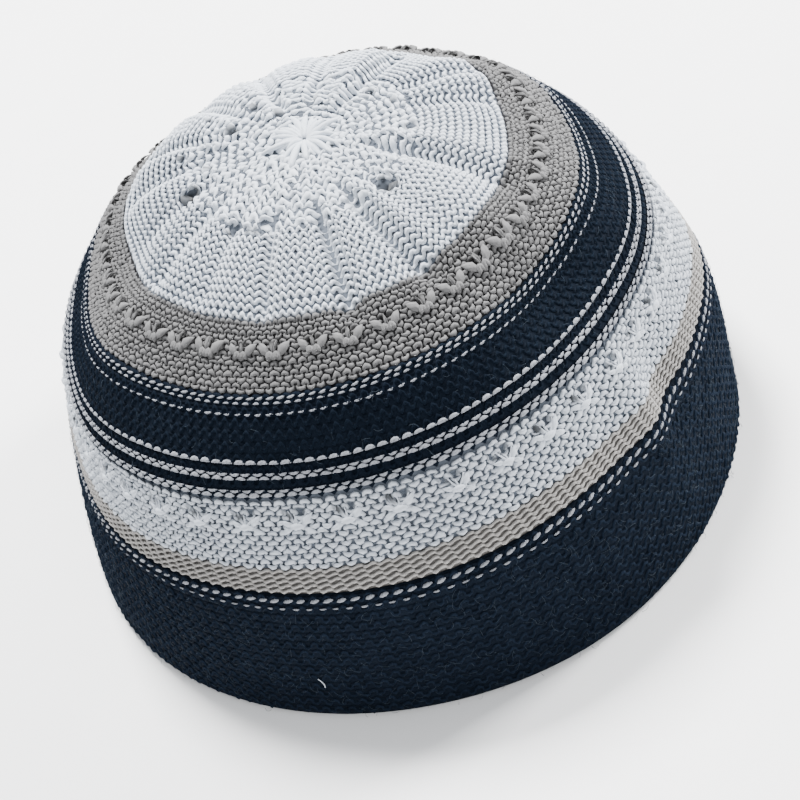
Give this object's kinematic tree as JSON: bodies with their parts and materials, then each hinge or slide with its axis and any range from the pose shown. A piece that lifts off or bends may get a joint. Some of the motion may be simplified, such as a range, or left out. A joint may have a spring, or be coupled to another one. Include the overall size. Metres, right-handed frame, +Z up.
{
  "type": "kufi",
  "caption": "Brimless oval knitted cap with a gathered white crown, taupe, navy and white bands with butterfly stitches, and a deep turned navy cuff, open below for the head.",
  "frame": {"origin": "middle of the cap's plan on the surface it rests on, under its rim", "axes": "+Z up through the crown, +X to the cap's right side, -Y to its front; the long way of the oval lies along Y"},
  "size_m": [0.1673, 0.201, 0.0939],
  "materials": {
    "white_knit": "matt knitted yarn",
    "taupe_knit": "matt knitted yarn",
    "stripe_knit": "matt knitted yarn",
    "navy_knit": "matt knitted yarn",
    "cuff_knit": "matt brushed knitted yarn"
  },
  "bodies": {
    "root": {"crown": "white_knit", "taupe_band": "taupe_knit", "navy_band": "navy_knit", "white_band": "white_knit", "taupe_stripe": "stripe_knit", "cuff": "cuff_knit"}
  },
  "joints": []
}
